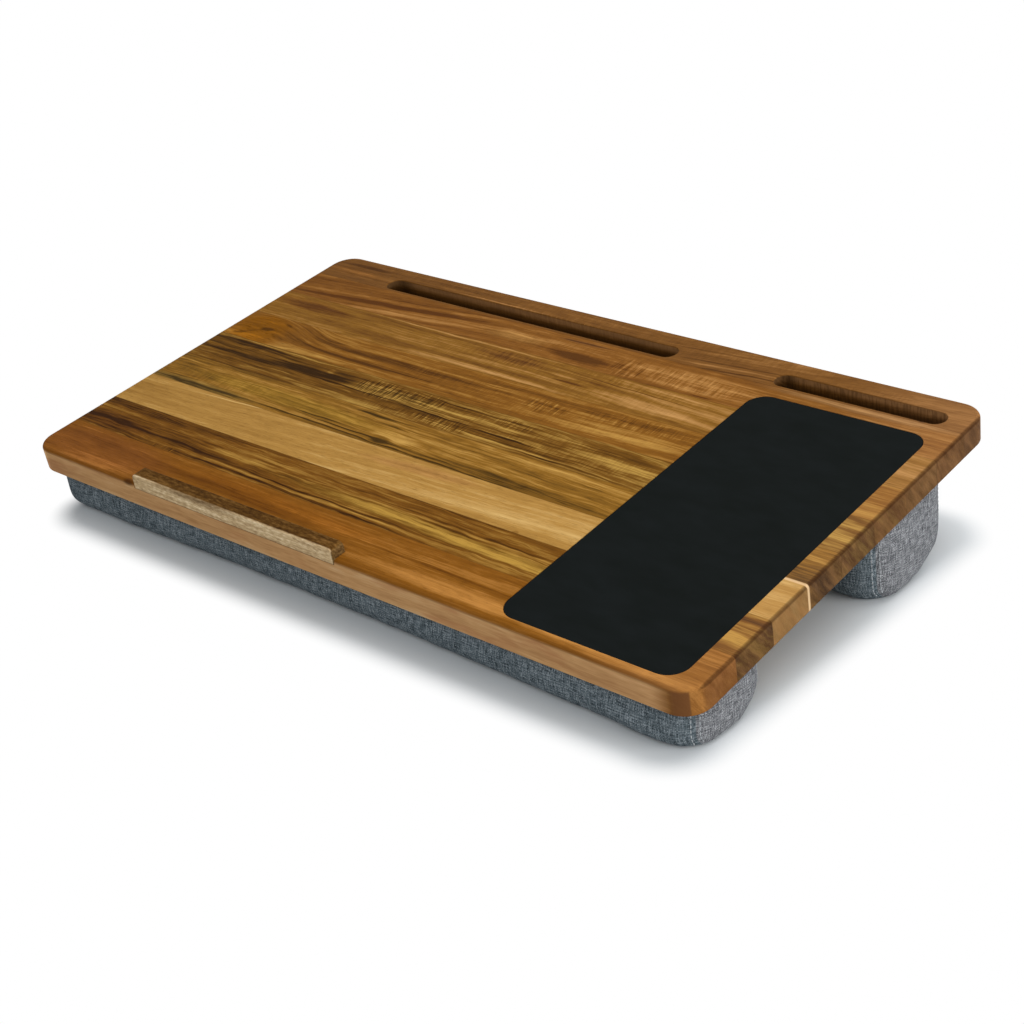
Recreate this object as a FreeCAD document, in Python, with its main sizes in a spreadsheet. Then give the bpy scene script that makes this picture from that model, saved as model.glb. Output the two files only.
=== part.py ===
import FreeCAD, Part
import math
import os
import Sketcher

# Lap desk: a board of nine edge-glued staves on two fabric bolsters.
# Lengths are millimetres, angles degrees. The board is drawn with its top face on the plane Z = 0 and
# its front left corner at the origin; every piece is then tilted and lifted together, so that the
# bolsters stand flat on the floor.

SIZES = {
    # board
    "board_length": 536.0,
    "board_thickness": 17.0,
    "board_corner_radius": 16.0,
    "top_edge_round": 2.2,
    "underside_edge_round": 1.0,
    "stave_1_width": 37.5,
    "stave_2_width": 33.5,
    "stave_3_width": 34.5,
    "stave_4_width": 32.5,
    "stave_5_width": 34.0,
    "stave_6_width": 35.0,
    "stave_7_width": 34.0,
    "stave_8_width": 32.0,
    "stave_9_width": 32.0,
    # slots for a tablet and a phone, measured from the back edge
    "slot_width": 14.5,
    "slot_depth": 10.0,
    "slot_back_margin": 15.5,
    "slot_mouth_round": 0.6,
    "tablet_slot_left": 66.0,
    "tablet_slot_length": 259.5,
    "phone_slot_left": 401.5,
    "phone_slot_length": 118.2,
    # ledge that stops a device at the front edge
    "ledge_left": 106.0,
    "ledge_length": 180.0,
    "ledge_depth": 10.5,
    "ledge_rise": 7.0,
    "ledge_end_radius": 3.5,
    "ledge_edge_round": 1.2,
    "rebate_depth": 3.5,
    # inset mouse pad
    "pad_left": 401.0,
    "pad_front": 7.2,
    "pad_length": 120.5,
    "pad_depth": 254.8,
    "pad_corner_radius": 13.0,
    "pad_recess_depth": 2.0,
    "pad_thickness": 1.5,
    "pad_adhesive_thickness": 0.3,
    "pad_clearance": 0.3,
    # bolsters
    "tilt_angle": 7.7,
    "front_drop": 25.5,
    "bolster_left_inset": 10.0,
    "bolster_right_inset": 2.5,
    "bolster_corner_radius": 18.0,
    "front_bolster_offset": 3.0,
    "front_bolster_width": 68.0,
    "front_bolster_nose_radius": 7.0,
    "front_bolster_heel_radius": 20.5,
    "rear_bolster_offset": 176.5,
    "rear_bolster_width": 84.5,
    "rear_bolster_nose_radius": 9.0,
    "rear_bolster_heel_radius": 39.0,
    "fabric_thickness": 1.5,
    "hem_width": 14.0,
    "end_seam_inset": 5.0,
    "backing_thickness": 3.0,
    "tape_corner_radius": 4.0,
    "soft_clearance": 0.3,
    # staples that hold the hem to the backing board
    "staple_crown": 10.0,
    "staple_leg": 4.0,
    "staple_wire": 0.8,
    "staple_pitch": 62.0,
    "staple_end_margin": 30.0,
}

STAVES = range(1, 10)
OVERRUN = 5.0
TOLERANCE = 1e-4

document = FreeCAD.newDocument("lap_desk")
sheet = document.addObject("Spreadsheet::Sheet", "Sizes")
subparts = []


def fill_sheet():
    """Write each size as a plain number in column B, with its name in column A as the alias."""
    for row, (name, value) in enumerate(SIZES.items(), start=1):
        sheet.set(f"A{row}", name)
        sheet.set(f"B{row}", str(value))
        sheet.setAlias(f"B{row}", name)
    document.recompute()


def size(name):
    """Expression for one size of the sheet."""
    return f"<<Sizes>>.{name}"


def value(expression):
    """Present value of an expression as a plain number."""
    result = sheet.evalExpression(expression)
    return float(getattr(result, "Value", result))


def total(*terms):
    """Expression for the sum of some expressions."""
    return "(" + " + ".join(terms) + ")"


def stave_front(number):
    """Expression for the distance from the board's front edge to a stave's front edge."""
    return total("0", *(size(f"stave_{n}_width") for n in STAVES if n < number))


BOARD_DEPTH = total(*(size(f"stave_{n}_width") for n in STAVES))
UNDERSIDE = f"-{size('board_thickness')}"


def keep(feature, label):
    """Name a finished piece and list it as a sub-part."""
    feature.Label = label
    subparts.append(feature)
    return feature


def new_body(name):
    """Empty body for one piece or one construction block."""
    return document.addObject("PartDesign::Body", name)


def origin_plane(body, role):
    """One of a body's own origin planes."""
    return next(f for f in body.Origin.OriginFeatures if f.Role == role)


def new_sketch(body, name, role):
    """Sketch on one of a body's origin planes."""
    sketch = body.newObject("Sketcher::SketchObject", name)
    sketch.AttachmentSupport = (origin_plane(body, role), [""])
    sketch.MapMode = "FlatFace"
    return sketch


def bind(sketch, kind, places, name, expression):
    """Add one dimension to a sketch and tie it to an expression."""
    index = sketch.addConstraint(Sketcher.Constraint(kind, *places, value(expression)))
    sketch.renameConstraint(index, name)
    sketch.setExpression(f"Constraints.{name}", expression)


def draw_polygon(sketch, points):
    """Closed outline of straight lines through the points."""
    count = len(points)
    for index, start in enumerate(points):
        end = points[(index + 1) % count]
        sketch.addGeometry(Part.LineSegment(FreeCAD.Vector(*start, 0), FreeCAD.Vector(*end, 0)))
    for index in range(count):
        sketch.addConstraint(Sketcher.Constraint("Coincident", index, 2, (index + 1) % count, 1))


def draw_rectangle(sketch, left, right, front, back):
    """Rectangle between four expressions."""
    low_x, high_x, low_y, high_y = (value(side) for side in (left, right, front, back))
    draw_polygon(sketch, [(low_x, low_y), (high_x, low_y), (high_x, high_y), (low_x, high_y)])
    for line, kind in enumerate(("Horizontal", "Vertical", "Horizontal", "Vertical")):
        sketch.addConstraint(Sketcher.Constraint(kind, line))
    bind(sketch, "DistanceX", (-1, 1, 0, 1), "left_side", left)
    bind(sketch, "DistanceX", (-1, 1, 2, 1), "right_side", right)
    bind(sketch, "DistanceY", (-1, 1, 0, 1), "front_side", front)
    bind(sketch, "DistanceY", (-1, 1, 2, 1), "back_side", back)


def draw_rounded_rectangle(sketch, left, right, front, back, radius):
    """Rectangle between four expressions with its four corners rounded."""
    low_x, high_x, low_y, high_y = (value(side) for side in (left, right, front, back))
    bend = value(radius)
    up = FreeCAD.Vector(0, 0, 1)
    lines = (
        ((low_x + bend, low_y), (high_x - bend, low_y)),
        ((high_x, low_y + bend), (high_x, high_y - bend)),
        ((high_x - bend, high_y), (low_x + bend, high_y)),
        ((low_x, high_y - bend), (low_x, low_y + bend)),
    )
    centres = (
        (high_x - bend, low_y + bend),
        (high_x - bend, high_y - bend),
        (low_x + bend, high_y - bend),
        (low_x + bend, low_y + bend),
    )
    for start, end in lines:
        sketch.addGeometry(Part.LineSegment(FreeCAD.Vector(*start, 0), FreeCAD.Vector(*end, 0)))
    for quarter, centre in enumerate(centres):
        circle = Part.Circle(FreeCAD.Vector(*centre, 0), up, bend)
        first = math.radians(90 * quarter - 90)
        sketch.addGeometry(Part.ArcOfCircle(circle, first, first + math.pi / 2))
    for corner in range(4):
        arc = 4 + corner
        sketch.addConstraint(Sketcher.Constraint("Tangent", corner, 2, arc, 1))
        sketch.addConstraint(Sketcher.Constraint("Tangent", arc, 2, (corner + 1) % 4, 1))
    for line, kind in enumerate(("Horizontal", "Vertical", "Horizontal", "Vertical")):
        sketch.addConstraint(Sketcher.Constraint(kind, line))
    for arc in (5, 6, 7):
        sketch.addConstraint(Sketcher.Constraint("Equal", 4, arc))
    bind(sketch, "Radius", (4,), "corner_radius", radius)
    bind(sketch, "DistanceX", (-1, 1, 3, 1), "left_side", left)
    bind(sketch, "DistanceX", (-1, 1, 1, 1), "right_side", right)
    bind(sketch, "DistanceY", (-1, 1, 0, 1), "front_side", front)
    bind(sketch, "DistanceY", (-1, 1, 2, 1), "back_side", back)


def draw_round_ended_slot(sketch, left, right, front, back):
    """Slot along X with full-round ends between four expressions."""
    low_x, high_x, low_y, high_y = (value(side) for side in (left, right, front, back))
    bend = (high_y - low_y) / 2
    middle = (high_y + low_y) / 2
    up = FreeCAD.Vector(0, 0, 1)
    near = Part.LineSegment(FreeCAD.Vector(low_x + bend, low_y, 0), FreeCAD.Vector(high_x - bend, low_y, 0))
    far = Part.LineSegment(FreeCAD.Vector(high_x - bend, high_y, 0), FreeCAD.Vector(low_x + bend, high_y, 0))
    right_circle = Part.Circle(FreeCAD.Vector(high_x - bend, middle, 0), up, bend)
    left_circle = Part.Circle(FreeCAD.Vector(low_x + bend, middle, 0), up, bend)
    sketch.addGeometry(near)
    sketch.addGeometry(Part.ArcOfCircle(right_circle, -math.pi / 2, math.pi / 2))
    sketch.addGeometry(far)
    sketch.addGeometry(Part.ArcOfCircle(left_circle, math.pi / 2, 3 * math.pi / 2))
    for piece in range(4):
        sketch.addConstraint(Sketcher.Constraint("Tangent", piece, 2, (piece + 1) % 4, 1))
    sketch.addConstraint(Sketcher.Constraint("Horizontal", 0))
    half_width = f"({back} - {front}) / 2"
    bind(sketch, "DistanceY", (-1, 1, 0, 1), "front_side", front)
    bind(sketch, "DistanceY", (-1, 1, 2, 1), "back_side", back)
    bind(sketch, "DistanceX", (-1, 1, 3, 3), "left_centre", total(left, half_width))
    bind(sketch, "DistanceX", (-1, 1, 1, 3), "right_centre", f"{right} - {half_width}")


def pad_sketch(body, name, sketch, length, reverse=False):
    """Pad a sketch along its normal, or against it."""
    pad = body.newObject("PartDesign::Pad", name)
    pad.Profile = sketch
    pad.setExpression("Length", length)
    pad.Reversed = reverse
    sketch.Visibility = False
    document.recompute()
    return pad


def pocket_sketch(body, name, sketch, depth):
    """Pocket a sketch of the top plane downwards, and make sure that it takes material away."""
    before = body.Shape.Volume
    pocket = body.newObject("PartDesign::Pocket", name)
    pocket.Profile = sketch
    pocket.setExpression("Length", depth)
    sketch.Visibility = False
    document.recompute()
    if body.Shape.Volume > before - TOLERANCE:
        raise RuntimeError(f"{name} cuts nothing")
    return pocket


def fillet_edges(body, name, radius, wanted):
    """Round those edges of a body's present tip that the test picks."""
    base = body.Tip
    edges = base.Shape.Edges
    chosen = [f"Edge{number}" for number, edge in enumerate(edges, start=1) if wanted(edge)]
    fillet = body.newObject("PartDesign::Fillet", name)
    fillet.Base = (base, chosen)
    fillet.setExpression("Radius", radius)
    document.recompute()
    return fillet


def edge_at_height(height):
    """Test for an edge that lies flat at one height."""
    def test(edge):
        box = edge.BoundBox
        return abs(box.ZMin - height) < TOLERANCE and abs(box.ZMax - height) < TOLERANCE
    return test


def edge_at_depth(depth, floor):
    """Test for an edge in one plane across Y that reaches above a floor height."""
    def test(edge):
        box = edge.BoundBox
        flat = abs(box.YMin - depth) < TOLERANCE and abs(box.YMax - depth) < TOLERANCE
        return flat and box.ZMax > floor + TOLERANCE
    return test


def edge_along_length(offset):
    """Test for a straight edge along X at one distance from the front."""
    def test(edge):
        box = edge.BoundBox
        along = box.YMax - box.YMin < TOLERANCE and box.ZMax - box.ZMin < TOLERANCE
        return along and abs(box.YMin - offset) < TOLERANCE
    return test


def new_box(name, left, front, bottom, length, width, height):
    """Construction box from six expressions."""
    box = document.addObject("Part::Box", name)
    for property_name, expression in (("Length", length), ("Width", width), ("Height", height)):
        box.setExpression(property_name, expression)
    for axis, expression in (("x", left), ("y", front), ("z", bottom)):
        box.setExpression(f"Placement.Base.{axis}", expression)
    return box


def combine(kind, name, base, tool):
    """Boolean of two shapes: kind is Common or Cut."""
    result = document.addObject(f"Part::{kind}", name)
    result.Base = base
    result.Tool = tool
    return result


def plate(name, left, right, front, back, radius, bottom, thickness):
    """Flat plate with rounded corners, standing on a given height."""
    body = new_body(name)
    sketch = new_sketch(body, f"{name}_outline", "XY_Plane")
    sketch.setExpression("AttachmentOffset.Base.z", bottom)
    draw_rounded_rectangle(sketch, left, right, front, back, radius)
    pad_sketch(body, f"{name}_pad", sketch, thickness)
    return body


def board_blank():
    """The whole glued board with its rounding, slots, pad recess and ledge rebate."""
    blank = new_body("board_blank")
    outline = new_sketch(blank, "board_outline", "XY_Plane")
    draw_rounded_rectangle(outline, "0", size("board_length"), "0", BOARD_DEPTH, size("board_corner_radius"))
    pad_sketch(blank, "board_pad", outline, size("board_thickness"), reverse=True)
    fillet_edges(blank, "top_rounding", size("top_edge_round"), edge_at_height(0))
    fillet_edges(blank, "underside_rounding", size("underside_edge_round"), edge_at_height(value(UNDERSIDE)))
    slot_back = f"({BOARD_DEPTH} - {size('slot_back_margin')})"
    slot_front = f"({slot_back} - {size('slot_width')})"
    for name in ("tablet_slot", "phone_slot"):
        left = size(f"{name}_left")
        right = total(left, size(f"{name}_length"))
        sketch = new_sketch(blank, f"{name}_outline", "XY_Plane")
        draw_round_ended_slot(sketch, left, right, slot_front, slot_back)
        pocket = pocket_sketch(blank, name, sketch, size("slot_depth"))
        mouth = slot_mouth_edges(pocket.Shape, value(left), value(right), value(slot_front), value(slot_back))
        fillet_edges(blank, f"{name}_mouth", size("slot_mouth_round"), mouth)
    recess = new_sketch(blank, "pad_recess_outline", "XY_Plane")
    draw_rounded_rectangle(recess, *pad_sides("0"), size("pad_corner_radius"))
    pocket_sketch(blank, "pad_recess", recess, size("pad_recess_depth"))
    rebate = new_sketch(blank, "ledge_rebate_outline", "XY_Plane")
    ledge_right = total(size("ledge_left"), size("ledge_length"))
    draw_rectangle(rebate, size("ledge_left"), ledge_right, str(-OVERRUN), size("ledge_depth"))
    pocket_sketch(blank, "ledge_rebate", rebate, size("rebate_depth"))
    return blank


def slot_mouth_edges(shape, left, right, front, back):
    """Test for the edges round one slot's mouth on the board's top face."""
    at_top = edge_at_height(0)

    def test(edge):
        box = edge.BoundBox
        inside_x = box.XMin > left - TOLERANCE and box.XMax < right + TOLERANCE
        inside_y = box.YMin > front - TOLERANCE and box.YMax < back + TOLERANCE
        return at_top(edge) and inside_x and inside_y
    return test


def staves():
    """Nine staves: the strips of the machined board between its glue lines."""
    blank = board_blank()
    for number in STAVES:
        strip = new_box(
            f"strip_{number}",
            str(-OVERRUN),
            stave_front(number),
            f"{UNDERSIDE} - {OVERRUN}",
            f"{size('board_length')} + {2 * OVERRUN}",
            size(f"stave_{number}_width"),
            f"{size('board_thickness')} + {2 * OVERRUN}",
        )
        keep(combine("Common", f"cut_stave_{number}", blank, strip), f"stave_{number}")


def device_ledge():
    """Hardwood strip glued in the rebate at the front edge, with rounded upper ends."""
    body = new_body("ledge")
    sketch = new_sketch(body, "ledge_outline", "XZ_Plane")
    right = total(size("ledge_left"), size("ledge_length"))
    draw_rectangle(sketch, size("ledge_left"), right, f"-{size('rebate_depth')}", size("ledge_rise"))
    pad_sketch(body, "ledge_pad", sketch, size("ledge_depth"), reverse=True)
    rise = value(size("ledge_rise"))

    def upper_end(edge):
        box = edge.BoundBox
        return edge_at_height(rise)(edge) and box.XMax - box.XMin < TOLERANCE
    fillet_edges(body, "ledge_ends", size("ledge_end_radius"), upper_end)
    bottom = -value(size("rebate_depth"))
    for name, depth in (("ledge_front_edges", 0), ("ledge_back_edges", value(size("ledge_depth")))):
        floor = bottom if depth == 0 else 0
        fillet_edges(body, name, size("ledge_edge_round"), edge_at_depth(depth, floor))
    keep(body, "device_ledge")


def pad_sides(clearance):
    """Left, right, front and back of the mouse pad's recess, drawn in by a clearance."""
    left = size("pad_left")
    front = size("pad_front")
    return (
        total(left, clearance),
        f"({left} + {size('pad_length')} - {clearance})",
        total(front, clearance),
        f"({front} + {size('pad_depth')} - {clearance})",
    )


def mouse_pad():
    """Thin pad and the film that sticks it down in its recess."""
    gap = size("pad_clearance")
    radius = f"{size('pad_corner_radius')} - {gap}"
    floor = f"-{size('pad_recess_depth')}"
    film = size("pad_adhesive_thickness")
    film_body = plate("pad_film", *pad_sides(gap), radius, floor, film)
    keep(film_body, "mouse_pad_adhesive")
    pad_body = plate("pad_sheet", *pad_sides(gap), radius, f"{floor} + {film}", size("pad_thickness"))
    keep(pad_body, "mouse_pad")


def bolster_sides(end, inset):
    """Left, right, front and back of a bolster's plan, drawn in by an inset."""
    front = size(f"{end}_bolster_offset")
    return (
        total(size("bolster_left_inset"), inset),
        f"({size('board_length')} - {size('bolster_right_inset')} - {inset})",
        total(front, inset),
        f"({front} + {size(f'{end}_bolster_width')} - {inset})",
    )


def floor_height(offset, inset):
    """Expression for the height of the floor plane, raised by an inset, at a distance from the front."""
    slope = f"tan({size('tilt_angle')})"
    raised = f"{inset} / cos({size('tilt_angle')})"
    return f"({UNDERSIDE} - {size('front_drop')} - {slope} * {offset} + {raised})"


def below_floor(end):
    """Expression for a height a little under the lowest point of a bolster."""
    back = bolster_sides(end, "0")[3]
    return f"({floor_height(back, '0')} - {OVERRUN})"


def bolster_section(name, end, inset, top):
    """Prism along X with a bolster's section: upright walls and a rounded bottom parallel to the floor."""
    left, right, front, back = bolster_sides(end, inset)
    body = new_body(name)
    sketch = new_sketch(body, f"{name}_outline", "YZ_Plane")
    sketch.setExpression("AttachmentOffset.Base.z", left)
    front_foot = floor_height(front, inset)
    back_foot = floor_height(back, inset)
    points = ((front, front_foot), (back, back_foot), (back, top), (front, top))
    draw_polygon(sketch, [(value(across), value(height)) for across, height in points])
    for line in (1, 3):
        sketch.addConstraint(Sketcher.Constraint("Vertical", line))
    sketch.addConstraint(Sketcher.Constraint("Horizontal", 2))
    bind(sketch, "DistanceX", (-1, 1, 0, 1), "front_wall", front)
    bind(sketch, "DistanceX", (-1, 1, 0, 2), "back_wall", back)
    bind(sketch, "DistanceY", (-1, 1, 0, 1), "front_foot", front_foot)
    bind(sketch, "DistanceY", (-1, 1, 0, 2), "back_foot", back_foot)
    bind(sketch, "DistanceY", (-1, 1, 2, 1), "top_side", top)
    pad_sketch(body, f"{name}_pad", sketch, f"{right} - {left}")
    for corner, offset, foot in (("nose", front, front_foot), ("heel", back, back_foot)):
        low_edge = edge_near(value(offset), value(foot))
        radius = f"{size(f'{end}_bolster_{corner}_radius')} - {inset}"
        fillet_edges(body, f"{name}_{corner}", radius, low_edge)
    return body


def edge_near(offset, height):
    """Test for the straight edge along X through one point of a section."""
    along_length = edge_along_length(offset)

    def test(edge):
        return along_length(edge) and abs(edge.BoundBox.ZMin - height) < TOLERANCE
    return test


def bolster_block(name, end, inset, top):
    """Whole bolster drawn in by an inset: its section's prism within its rounded plan."""
    section = bolster_section(f"{name}_section", end, inset, top)
    radius = f"{size('bolster_corner_radius')} - {inset}"
    lowest = below_floor(end)
    plan = plate(f"{name}_plan", *bolster_sides(end, inset), radius, lowest, f"{top} - {lowest} + {OVERRUN}")
    return combine("Common", name, section, plan)


def staple_set(end):
    """Staples along a bolster's front and back hems: a crown on the hem and two legs into the backing."""
    crown = value(size("staple_crown"))
    leg = value(size("staple_leg"))
    wire = value(size("staple_wire"))
    left, right, front, back = (value(side) for side in bolster_sides(end, "0"))
    hem_middle = value(size("hem_width")) / 2
    margin = value(size("staple_end_margin"))
    run = right - left - 2 * margin - crown
    gaps = max(1, round(run / value(size("staple_pitch"))))
    top = value(UNDERSIDE)
    staples = []
    for row in (front + hem_middle, back - hem_middle):
        for step in range(gaps + 1):
            start = FreeCAD.Vector(left + margin + step * run / gaps, row - wire / 2, top - wire)
            bar = Part.makeBox(crown, wire, wire, start)
            drop = FreeCAD.Vector(0, 0, wire - leg)
            reach = FreeCAD.Vector(crown - wire, 0, 0)
            legs = [Part.makeBox(wire, wire, leg, start + drop + shift) for shift in (reach * 0, reach)]
            staples.append(bar.fuse(legs).removeSplitter())
    feature = document.addObject("Part::Feature", f"{end}_staples")
    feature.Shape = Part.makeCompound(staples)
    return keep(feature, f"{end}_bolster_staples")


def bolster(end):
    """One bolster: stapled fabric wrap and two end caps, foam, backing board and mounting tape."""
    cloth = size("fabric_thickness")
    gap = size("soft_clearance")
    hem = size("hem_width")
    inner_inset = total(cloth, gap)
    hem_floor = f"({UNDERSIDE} - {cloth})"
    backing_floor = f"({hem_floor} - {size('backing_thickness')})"
    staples = staple_set(end)

    outer = bolster_block(f"{end}_outer", end, "0", UNDERSIDE)
    inner = bolster_block(f"{end}_inner", end, cloth, hem_floor)
    hollow = combine("Cut", f"{end}_hollow", outer, inner)
    window = plate(
        f"{end}_window", *bolster_sides(end, hem), size("tape_corner_radius"), hem_floor, cloth
    )
    shell = combine("Cut", f"{end}_shell", hollow, window)

    left, right, front, back = bolster_sides(end, "0")
    lowest = below_floor(end)
    height = f"{UNDERSIDE} - {lowest} + {OVERRUN}"
    seam = size("end_seam_inset")
    spans = (
        ("wrap", f"{left} + {seam}", f"{right} - {left} - 2 * {seam}"),
        ("end_cap_left", f"{left} - {OVERRUN}", f"{seam} + {OVERRUN}"),
        ("end_cap_right", f"{right} - {seam}", f"{seam} + {OVERRUN}"),
    )
    for piece, start, length in spans:
        width = f"{back} - {front} + {2 * OVERRUN}"
        span = new_box(f"{end}_{piece}_span", start, f"{front} - {OVERRUN}", lowest, length, width, height)
        cloth_piece = combine("Common", f"{end}_{piece}_cloth", shell, span)
        if piece == "wrap":
            cloth_piece = combine("Cut", f"{end}_wrap_stapled", cloth_piece, staples)
        keep(cloth_piece, f"{end}_bolster_{piece}")

    radius = f"{size('bolster_corner_radius')} - {inner_inset}"
    board = plate(
        f"{end}_board", *bolster_sides(end, inner_inset), radius, backing_floor, size("backing_thickness")
    )
    keep(combine("Cut", f"{end}_board_stapled", board, staples), f"{end}_bolster_backing")
    keep(bolster_block(f"{end}_foam", end, inner_inset, backing_floor), f"{end}_bolster_foam")
    tape_radius = f"{size('tape_corner_radius')} - {gap}"
    tape = plate(f"{end}_tape", *bolster_sides(end, total(hem, gap)), tape_radius, hem_floor, cloth)
    keep(tape, f"{end}_bolster_tape")


def rest_placement():
    """Tilt and lift that stand the desk on the floor, centred over the origin."""
    tilt = math.radians(value(size("tilt_angle")))
    sine = math.sin(tilt)
    cosine = math.cos(tilt)
    bulge = sine + cosine - 1
    ledge_round = value(size("ledge_edge_round"))
    board_depth = value(BOARD_DEPTH)
    thickness = value(size("board_thickness"))
    rear_round = value(size("underside_edge_round"))
    foremost = ledge_round * bulge - value(size("ledge_rise")) * sine
    rearmost = board_depth * cosine + thickness * sine - rear_round * bulge
    lift = (thickness + value(size("front_drop"))) * cosine
    base = FreeCAD.Vector(-value(size("board_length")) / 2, -(foremost + rearmost) / 2, lift)
    return FreeCAD.Placement(base, FreeCAD.Rotation(FreeCAD.Vector(1, 0, 0), math.degrees(tilt)))


def check_document():
    """Stop if any object failed or any piece has no valid solid."""
    for item in document.Objects:
        if "Invalid" in item.State or "Error" in item.State:
            raise RuntimeError(f"{item.Name} failed")
    for piece in subparts:
        if piece.Shape.isNull() or not piece.Shape.isValid() or not piece.Shape.Solids:
            raise RuntimeError(f"{piece.Label} has no valid solid")


def write_parts():
    """Write each piece to its own file."""
    os.makedirs("parts", exist_ok=True)
    for piece in subparts:
        piece.Shape.exportStep(os.path.join("parts", f"{piece.Label}.step"))


fill_sheet()
staves()
device_ledge()
mouse_pad()
for bolster_end in ("front", "rear"):
    bolster(bolster_end)
document.recompute()
placement = rest_placement()
for subpart in subparts:
    subpart.Placement = placement
document.recompute()
check_document()
write_parts()
for subpart in subparts:
    bounds = subpart.Shape.BoundBox
    low = (round(bounds.XMin, 2), round(bounds.YMin, 2), round(bounds.ZMin, 2))
    high = (round(bounds.XMax, 2), round(bounds.YMax, 2), round(bounds.ZMax, 2))
    print(subpart.Label, len(subpart.Shape.Solids), "solids", low, high)
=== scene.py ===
import math

import bmesh
import bpy
import numpy as np
from mathutils import Matrix, Vector
from mathutils.bvhtree import BVHTree

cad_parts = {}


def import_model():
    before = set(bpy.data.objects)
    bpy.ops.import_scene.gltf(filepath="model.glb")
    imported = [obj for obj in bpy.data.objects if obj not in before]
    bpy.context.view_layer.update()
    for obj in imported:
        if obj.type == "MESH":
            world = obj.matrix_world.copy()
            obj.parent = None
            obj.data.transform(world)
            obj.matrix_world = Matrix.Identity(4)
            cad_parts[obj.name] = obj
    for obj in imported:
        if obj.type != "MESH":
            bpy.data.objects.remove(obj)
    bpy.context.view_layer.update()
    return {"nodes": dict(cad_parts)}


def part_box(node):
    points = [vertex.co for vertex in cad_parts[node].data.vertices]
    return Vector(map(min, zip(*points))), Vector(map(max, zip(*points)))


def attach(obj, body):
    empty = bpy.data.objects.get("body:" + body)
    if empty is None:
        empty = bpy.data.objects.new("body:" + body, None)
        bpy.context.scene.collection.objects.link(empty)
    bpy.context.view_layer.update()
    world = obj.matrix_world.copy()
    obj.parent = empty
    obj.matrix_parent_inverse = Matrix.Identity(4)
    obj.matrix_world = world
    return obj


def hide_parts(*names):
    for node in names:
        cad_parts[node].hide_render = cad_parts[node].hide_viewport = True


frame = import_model()
NODES = frame["nodes"]

# The board's own frame, in mm: x along the front edge, y towards the back, z up from its top face.
MM = 0.001
TILT = math.radians(7.7)
BOARD_LENGTH = 536.0
BOARD_CORNER = Vector((-268.0, -151.807, 42.117))

# Full-length staves, from the front edge to the back.
GLUE_LINES = (0.0, 37.5, 71.0, 105.5, 138.0, 172.0, 207.0, 241.0, 273.0, 305.0)


def tone(code):
    """A colour written as six hex digits, as the linear colour that a shader takes."""
    shares = [int(code[i:i + 2], 16) / 255 for i in (0, 2, 4)]
    linear = [s / 12.92 if s <= 0.04045 else ((s + 0.055) / 1.055) ** 2.4 for s in shares]
    return (*linear, 1.0)


# ---- Shader building ----

class Wire:
    """One output of a shader node, which takes part in arithmetic."""

    def __init__(self, finish, socket):
        self.finish = finish
        self.socket = socket

    def math(self, operation, first, second=0.0):
        return self.finish.node("Math", {"operation": operation}, {0: first, 1: second})

    def __add__(self, other):
        return self.math("ADD", self, other)

    def __radd__(self, other):
        return self.math("ADD", other, self)

    def __sub__(self, other):
        return self.math("SUBTRACT", self, other)

    def __rsub__(self, other):
        return self.math("SUBTRACT", other, self)

    def __mul__(self, other):
        return self.math("MULTIPLY", self, other)

    def __rmul__(self, other):
        return self.math("MULTIPLY", other, self)

    def __pow__(self, other):
        return self.math("POWER", self, other)

    def __abs__(self):
        return self.math("ABSOLUTE", self)

    def least(self, other):
        return self.math("MINIMUM", self, other)

    def most(self, other):
        return self.math("MAXIMUM", self, other)

    def sine(self):
        return self.math("SINE", self)

    def between(self, low, high):
        """0 at low, 1 at high, smooth in between; low may be the larger."""
        settings = {"interpolation_type": "SMOOTHSTEP"}
        return self.finish.node("MapRange", settings, {"Value": self, "From Min": low, "From Max": high})


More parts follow.
